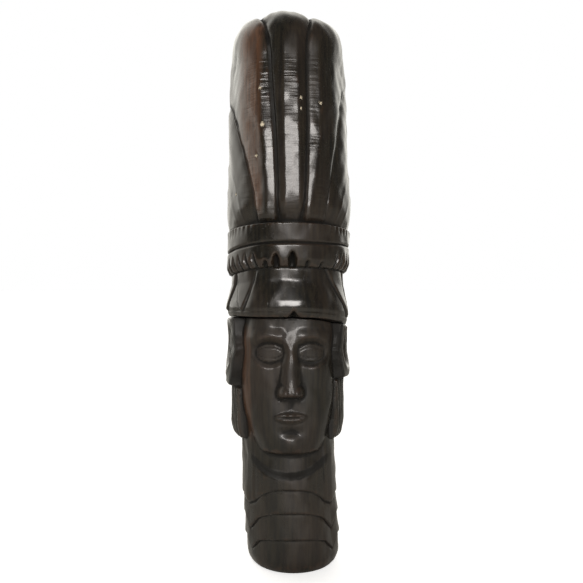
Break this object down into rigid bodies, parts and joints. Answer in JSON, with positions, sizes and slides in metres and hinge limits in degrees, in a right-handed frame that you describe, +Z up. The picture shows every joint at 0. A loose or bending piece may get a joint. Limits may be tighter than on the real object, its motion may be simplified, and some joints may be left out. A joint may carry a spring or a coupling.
{
  "type": "indigenous man bust",
  "caption": "Dark wooden bust of an indigenous man in a tall feather headdress, carved from one log.",
  "frame": {"origin": "centre of the bounding box on the plane of the flat underside", "axes": "+Z up along the log, the face looks along -Y, +X is at the right of someone looking at the face"},
  "size_m": [0.1028, 0.1032, 0.45],
  "materials": {
    "dark_wood": "dark stained wood with a worn gloss lacquer"
  },
  "bodies": {
    "root": {"bust": "dark_wood"}
  },
  "joints": []
}
